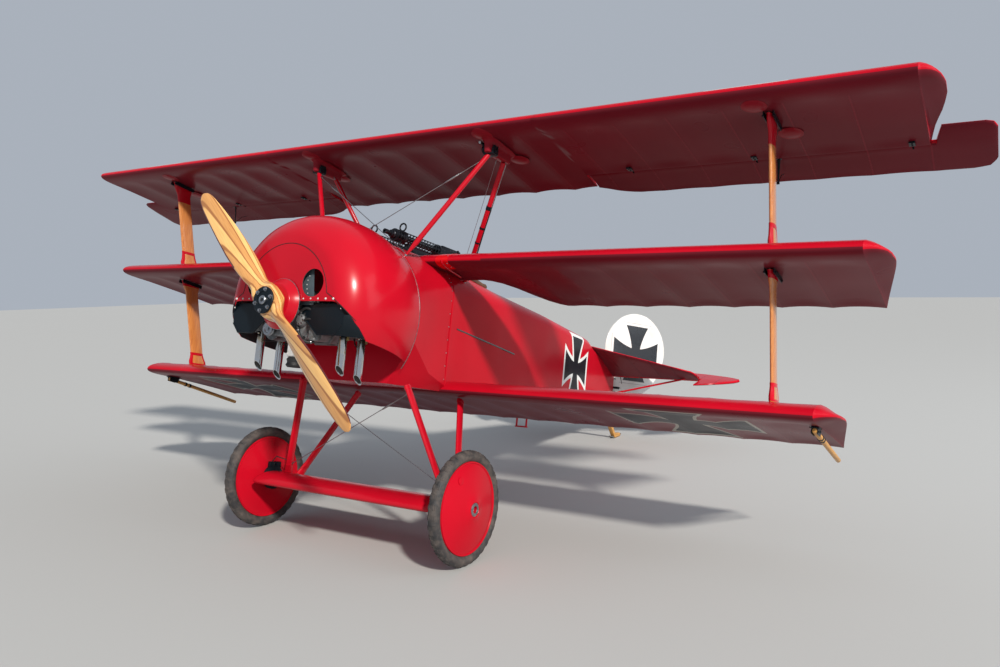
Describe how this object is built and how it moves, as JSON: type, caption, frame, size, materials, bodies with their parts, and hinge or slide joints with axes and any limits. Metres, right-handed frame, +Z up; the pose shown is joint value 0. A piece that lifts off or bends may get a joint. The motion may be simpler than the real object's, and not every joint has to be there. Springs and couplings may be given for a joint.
{
  "type": "vintage fighter triplane",
  "caption": "Single-seat vintage fighter triplane, red, with cantilever wings, open cockpit, cowled engine, wooden propeller, wheels and a tail skid.",
  "frame": {"origin": "on the floor under the middle of the aeroplane's box, as it stands parked on its wheels and tail skid", "axes": "+X forwards to the propeller, +Y to the pilot's left along the span, +Z up; the wheels and the skid touch z = 0"},
  "size_m": [5.6256, 7.2, 2.7675],
  "materials": {
    "red_dope": "glossy red dope over stretched linen",
    "red_metal": "glossy red enamel",
    "white_dope": "glossy white dope over stretched linen",
    "strut_wood": "varnished spruce",
    "skid_ash": "varnished ash",
    "propeller_wood": "clear-varnished laminations",
    "board_wood": "satin varnish",
    "black_metal": "satin black",
    "engine_alloy": "bare grey casting",
    "exhaust_chrome": "polished",
    "steel": "satin",
    "tyre_rubber": "matt, dusty",
    "seat_leather": "worn brown"
  },
  "bodies": {
    "airframe": {"middle_wing": "red_dope", "lower_wing": "red_dope", "cowling": "red_metal", "baffle_left": "black_metal", "baffle_right": "black_metal", "engine": "engine_alloy", "exhaust_1": "exhaust_chrome", "exhaust_2": "exhaust_chrome", "exhaust_3": "exhaust_chrome", "exhaust_4": "exhaust_chrome", "intake_box": "engine_alloy", "pulley": "steel", "strut_left_upper": "strut_wood", "strut_left_lower": "strut_wood", "strut_right_upper": "strut_wood", "strut_right_lower": "strut_wood", "cabane_fitting_left": "red_metal", "cabane_left_front": "red_metal", "cabane_left_rear": "red_metal", "cabane_fitting_right": "red_metal", "cabane_right_front": "red_metal", "cabane_right_rear": "red_metal", "axle": "steel", "axle_fairing": "red_dope", "gear_leg_left_front": "red_metal", "gear_leg_left_rear": "red_metal", "gear_leg_right_front": "red_metal", "gear_leg_right_rear": "red_metal", "cabane_cable_1": "steel", "cabane_cable_2": "steel", "gear_cable_1": "steel", "gear_cable_2": "steel", "brake_drum_left": "black_metal", "brake_drum_right": "black_metal", "upper_wing": "red_dope", "tailplane": "red_dope", "fuselage": "red_dope", "tail_strut_left": "red_metal", "tail_strut_right": "red_metal", "tail_skid": "skid_ash", "gun_left": "black_metal", "gun_right": "black_metal", "seat": "seat_leather", "control_column": "black_metal", "instrument_board": "board_wood", "step": "red_metal", "wing_skid_left": "skid_ash", "wing_skid_right": "skid_ash"},
    "propeller": {"propeller": "propeller_wood", "hub_plate": "black_metal", "back_bowl": "red_metal"},
    "wheel_left": {"tyre_left": "tyre_rubber", "wheel_cover_left": "red_metal"},
    "wheel_right": {"tyre_right": "tyre_rubber", "wheel_cover_right": "red_metal"},
    "aileron_left": {"aileron_left": "red_dope"},
    "aileron_right": {"aileron_right": "red_dope"},
    "elevator": {"elevator": "red_dope"},
    "rudder": {"rudder": "white_dope"}
  },
  "joints": [
    {"name": "propeller_spin", "type": "hinge", "parent": "airframe", "child": "propeller", "pos_m": [2.71855, 0, 1.64902], "axis": [0.9789, 0, 0.2045], "continuous": true},
    {"name": "wheel_left_spin", "type": "hinge", "parent": "airframe", "child": "wheel_left", "pos_m": [1.96219, 0.873, 0.355], "axis": [0, 1, 0], "continuous": true},
    {"name": "wheel_right_spin", "type": "hinge", "parent": "airframe", "child": "wheel_right", "pos_m": [1.96219, -0.873, 0.355], "axis": [0, 1, 0], "continuous": true},
    {"name": "aileron_left_hinge", "type": "hinge", "parent": "airframe", "child": "aileron_left", "pos_m": [0.80577, 2.32, 2.46744], "axis": [0, 1, 0], "range_deg": [-20, 20]},
    {"name": "aileron_right_hinge", "type": "hinge", "parent": "airframe", "child": "aileron_right", "pos_m": [0.80577, -2.32, 2.46744], "axis": [0, 1, 0], "range_deg": [-20, 20]},
    {"name": "elevator_hinge", "type": "hinge", "parent": "airframe", "child": "elevator", "pos_m": [-2.12238, 0, 0.68877], "axis": [0, 1, 0], "range_deg": [-57, 0]},
    {"name": "rudder_hinge", "type": "hinge", "parent": "airframe", "child": "rudder", "pos_m": [-2.17578, 0, 0.62654], "axis": [-0.2045, 0, 0.9789], "range_deg": [0, 60]}
  ],
  "couplings": [
    {"joint": "aileron_right_hinge", "follows": "aileron_left_hinge", "ratio": -1}
  ]
}
